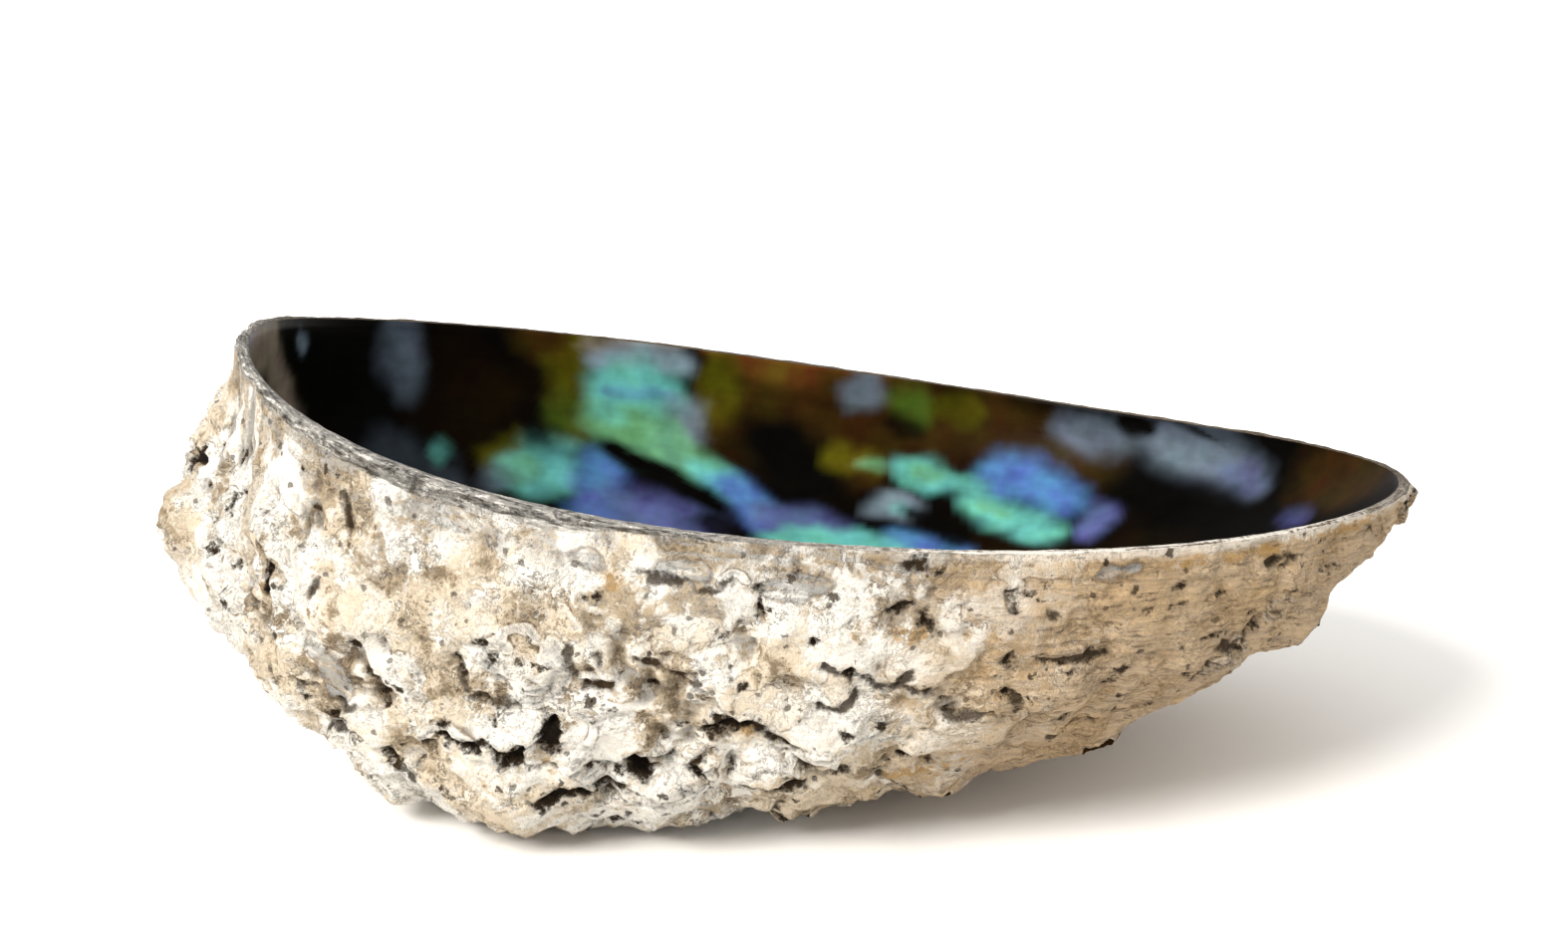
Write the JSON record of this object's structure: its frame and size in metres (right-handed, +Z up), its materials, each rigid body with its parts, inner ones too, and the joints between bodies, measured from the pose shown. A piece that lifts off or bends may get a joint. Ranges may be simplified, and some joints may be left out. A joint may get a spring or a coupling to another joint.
{
  "type": "abalone shell",
  "caption": "Abalone shell lying open side up: a deep oval dish with a crusted, pitted outside, a row of breathing holes and a dark iridescent nacre lining.",
  "frame": {"origin": "under the middle of the shell's bounding box, on the surface it rests on", "axes": "+X to the broad growing end, away from the spire; +Y away from the steep side that carries the breathing holes; +Z up, out of the open side"},
  "size_m": [0.1745, 0.1203, 0.0619],
  "materials": {
    "shell": "chalky weathered crust outside, glossy nacre inside"
  },
  "bodies": {
    "root": {"shell": "shell"}
  },
  "joints": []
}
